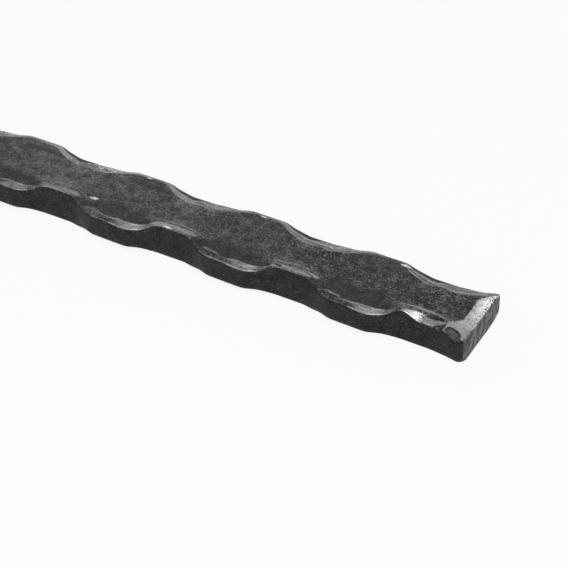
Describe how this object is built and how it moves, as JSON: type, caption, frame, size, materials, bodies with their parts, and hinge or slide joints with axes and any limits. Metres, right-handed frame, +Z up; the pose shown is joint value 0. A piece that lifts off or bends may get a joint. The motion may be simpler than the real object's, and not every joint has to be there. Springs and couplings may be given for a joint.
{
  "type": "hammered flat bar",
  "caption": "Solid flat steel bar with both edges forged into regular waves, dented corners at each broad place and square sheared ends.",
  "frame": {"origin": "middle of the underside, on the plane the bar lies on", "axes": "+X along the bar towards the shown cut end, +Y across its width, +Z up out of the upper wide face"},
  "size_m": [1, 0.021, 0.008],
  "materials": {
    "black_steel": "hot-forged mill scale, dark grey, rubbed brighter on the dent rims, the lips and the sheared ends"
  },
  "bodies": {
    "root": {"hammered_flat_bar": "black_steel"}
  },
  "joints": []
}
